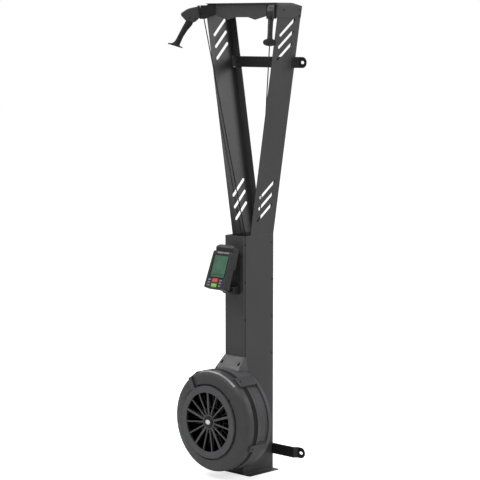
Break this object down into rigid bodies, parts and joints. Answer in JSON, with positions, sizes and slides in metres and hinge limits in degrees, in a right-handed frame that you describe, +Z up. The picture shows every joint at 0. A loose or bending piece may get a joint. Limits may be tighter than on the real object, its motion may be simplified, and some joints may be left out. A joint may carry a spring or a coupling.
{
  "type": "ski simulator",
  "caption": "Upright ski trainer: a steel column with leaning arms, cord handles at the head, a fan with a damper lever, and a tilting monitor.",
  "frame": {"origin": "centre of the base plate's underside, on the floor", "axes": "+X to the right seen from the user's side, +Y back towards the wall, +Z up"},
  "size_m": [0.6555, 0.3819, 2.12],
  "materials": {
    "powder_coated_steel": "satin",
    "black_steel": "satin",
    "dock_plastic": "matte",
    "housing_plastic": "matte",
    "mesh_metal": "perforated",
    "fan_plastic": "matte",
    "bare_steel": "brushed",
    "pulley_plastic": "matte",
    "cord": "braided",
    "handle_plastic": "satin",
    "grip_rubber": "matte",
    "monitor_plastic": "satin",
    "screen": "clear window over a grey-green display",
    "board": "satin",
    "red": "matte",
    "green": "matte",
    "pale": "matte",
    "screw_steel": "satin"
  },
  "bodies": {
    "frame": {"base_plate": "powder_coated_steel", "clamp_screws": "screw_steel", "column_front_panel": "powder_coated_steel", "column_rear_panel": "powder_coated_steel", "fan_front_cover": "housing_plastic", "fan_front_grill": "housing_plastic", "fan_mesh_band": "mesh_metal", "fan_rear_housing": "housing_plastic", "frame_screws": "screw_steel", "front_bearing_plate": "bare_steel", "grill_hub_cap": "housing_plastic", "guide_bars": "bare_steel", "head_front_plate": "powder_coated_steel", "head_side_plates": "powder_coated_steel", "head_top_cover": "powder_coated_steel", "housing_clamps": "housing_plastic", "left_arm": "powder_coated_steel", "left_column_sheet": "powder_coated_steel", "left_cord_dock": "dock_plastic", "left_drive_cord": "cord", "lower_wall_bar": "black_steel", "monitor_bracket": "dock_plastic", "pulley_pins": "bare_steel", "rear_bearing_plate": "bare_steel", "recoil_springs": "bare_steel", "right_arm": "powder_coated_steel", "right_column_sheet": "powder_coated_steel", "right_cord_dock": "dock_plastic", "right_drive_cord": "cord", "shaft_bearings": "bare_steel", "spring_cups": "bare_steel", "upper_wall_bar": "black_steel"},
    "fan": {"fan_wheel": "fan_plastic", "fan_shaft": "bare_steel", "one_way_clutches": "bare_steel"},
    "damper": {"damper_ring": "housing_plastic"},
    "monitor": {"monitor_case": "monitor_plastic", "monitor_bezel": "monitor_plastic", "monitor_screen": "screen", "circuit_board": "board"},
    "right_handle": {"right_handle_head": "handle_plastic", "right_handle_grip": "grip_rubber", "right_handle_cord": "cord"},
    "right_spool_body": {"right_spool": "pulley_plastic"},
    "right_dock_pulley_body": {"right_dock_pulley": "pulley_plastic"},
    "right_guide_pulley_body": {"right_guide_pulley": "pulley_plastic"},
    "left_handle": {"left_handle_head": "handle_plastic", "left_handle_grip": "grip_rubber", "left_handle_cord": "cord"},
    "left_spool_body": {"left_spool": "pulley_plastic"},
    "left_dock_pulley_body": {"left_dock_pulley": "pulley_plastic"},
    "left_guide_pulley_body": {"left_guide_pulley": "pulley_plastic"},
    "red_key_body": {"red_key": "red"},
    "green_key_body": {"green_key": "green"},
    "left_key_1_body": {"left_key_1": "pale"},
    "right_key_1_body": {"right_key_1": "pale"},
    "left_key_2_body": {"left_key_2": "pale"},
    "right_key_2_body": {"right_key_2": "pale"},
    "left_key_3_body": {"left_key_3": "pale"},
    "right_key_3_body": {"right_key_3": "pale"}
  },
  "joints": [
    {"name": "fan_spin", "type": "hinge", "parent": "frame", "child": "fan", "pos_m": [0, -0.0977, 0.263], "axis": [0, 1, 0], "continuous": true},
    {"name": "damper_turn", "type": "hinge", "parent": "frame", "child": "damper", "pos_m": [0, -0.0977, 0.263], "axis": [0, 1, 0], "range_deg": [0, 66]},
    {"name": "monitor_tilt", "type": "hinge", "parent": "frame", "child": "monitor", "pos_m": [0, -0.1257, 0.842], "axis": [1, 0, 0], "range_deg": [-5, 20]},
    {"name": "right_handle_pull", "type": "slide", "parent": "frame", "child": "right_handle", "axis": [0.6416, -0.7646, -0.061], "range_m": [0, 0.9], "stiffness_N_per_m": 5, "springref_m": -3, "deforming": ["right_handle_cord"]},
    {"name": "right_spool_turn", "type": "hinge", "parent": "frame", "child": "right_spool_body", "pos_m": [0, 0.0274, 0.263], "axis": [0, 1, 0], "continuous": true},
    {"name": "right_dock_pulley_turn", "type": "hinge", "parent": "frame", "child": "right_dock_pulley_body", "pos_m": [0.21535, -0.08897, 2.0716], "axis": [0.762, 0.6445, -0.0633], "continuous": true},
    {"name": "right_guide_pulley_turn", "type": "hinge", "parent": "frame", "child": "right_guide_pulley_body", "pos_m": [0.0363, 0.02124, 0.97539], "axis": [0.5135, 0.8581, 0], "continuous": true},
    {"name": "left_handle_pull", "type": "slide", "parent": "frame", "child": "left_handle", "axis": [-0.631, -0.752, -0.1908], "range_m": [0, 0.9], "stiffness_N_per_m": 5, "springref_m": -3, "deforming": ["left_handle_cord"]},
    {"name": "left_spool_turn", "type": "hinge", "parent": "frame", "child": "left_spool_body", "pos_m": [0, 0.0585, 0.263], "axis": [0, 1, 0], "continuous": true},
    {"name": "left_dock_pulley_turn", "type": "hinge", "parent": "frame", "child": "left_dock_pulley_body", "pos_m": [-0.21524, -0.08883, 2.07062], "axis": [0.7568, -0.6507, 0.0618], "continuous": true},
    {"name": "left_guide_pulley_turn", "type": "hinge", "parent": "frame", "child": "left_guide_pulley_body", "pos_m": [0.0157, 0.05234, 0.66609], "axis": [0.5134, -0.8581, 0], "continuous": true},
    {"name": "red_key_press", "type": "slide", "parent": "monitor", "child": "red_key_body", "axis": [0, 0.9397, -0.342], "range_m": [0, 0.0015], "stiffness_N_per_m": 300, "springref_m": -0.003},
    {"name": "green_key_press", "type": "slide", "parent": "monitor", "child": "green_key_body", "axis": [0, 0.9397, -0.342], "range_m": [0, 0.0015], "stiffness_N_per_m": 300, "springref_m": -0.003},
    {"name": "left_key_1_press", "type": "slide", "parent": "monitor", "child": "left_key_1_body", "axis": [0, 0.9397, -0.342], "range_m": [0, 0.0015], "stiffness_N_per_m": 300, "springref_m": -0.003},
    {"name": "right_key_1_press", "type": "slide", "parent": "monitor", "child": "right_key_1_body", "axis": [0, 0.9397, -0.342], "range_m": [0, 0.0015], "stiffness_N_per_m": 300, "springref_m": -0.003},
    {"name": "left_key_2_press", "type": "slide", "parent": "monitor", "child": "left_key_2_body", "axis": [0, 0.9397, -0.342], "range_m": [0, 0.0015], "stiffness_N_per_m": 300, "springref_m": -0.003},
    {"name": "right_key_2_press", "type": "slide", "parent": "monitor", "child": "right_key_2_body", "axis": [0, 0.9397, -0.342], "range_m": [0, 0.0015], "stiffness_N_per_m": 300, "springref_m": -0.003},
    {"name": "left_key_3_press", "type": "slide", "parent": "monitor", "child": "left_key_3_body", "axis": [0, 0.9397, -0.342], "range_m": [0, 0.0015], "stiffness_N_per_m": 300, "springref_m": -0.003},
    {"name": "right_key_3_press", "type": "slide", "parent": "monitor", "child": "right_key_3_body", "axis": [0, 0.9397, -0.342], "range_m": [0, 0.0015], "stiffness_N_per_m": 300, "springref_m": -0.003}
  ],
  "couplings": [
    {"joint": "right_spool_turn", "follows": "right_handle_pull", "rad_per_m": -38.462},
    {"joint": "right_dock_pulley_turn", "follows": "right_handle_pull", "rad_per_m": 125},
    {"joint": "right_guide_pulley_turn", "follows": "right_handle_pull", "rad_per_m": 83.333},
    {"joint": "left_spool_turn", "follows": "left_handle_pull", "rad_per_m": -38.462},
    {"joint": "left_dock_pulley_turn", "follows": "left_handle_pull", "rad_per_m": 125},
    {"joint": "left_guide_pulley_turn", "follows": "left_handle_pull", "rad_per_m": 83.333}
  ]
}
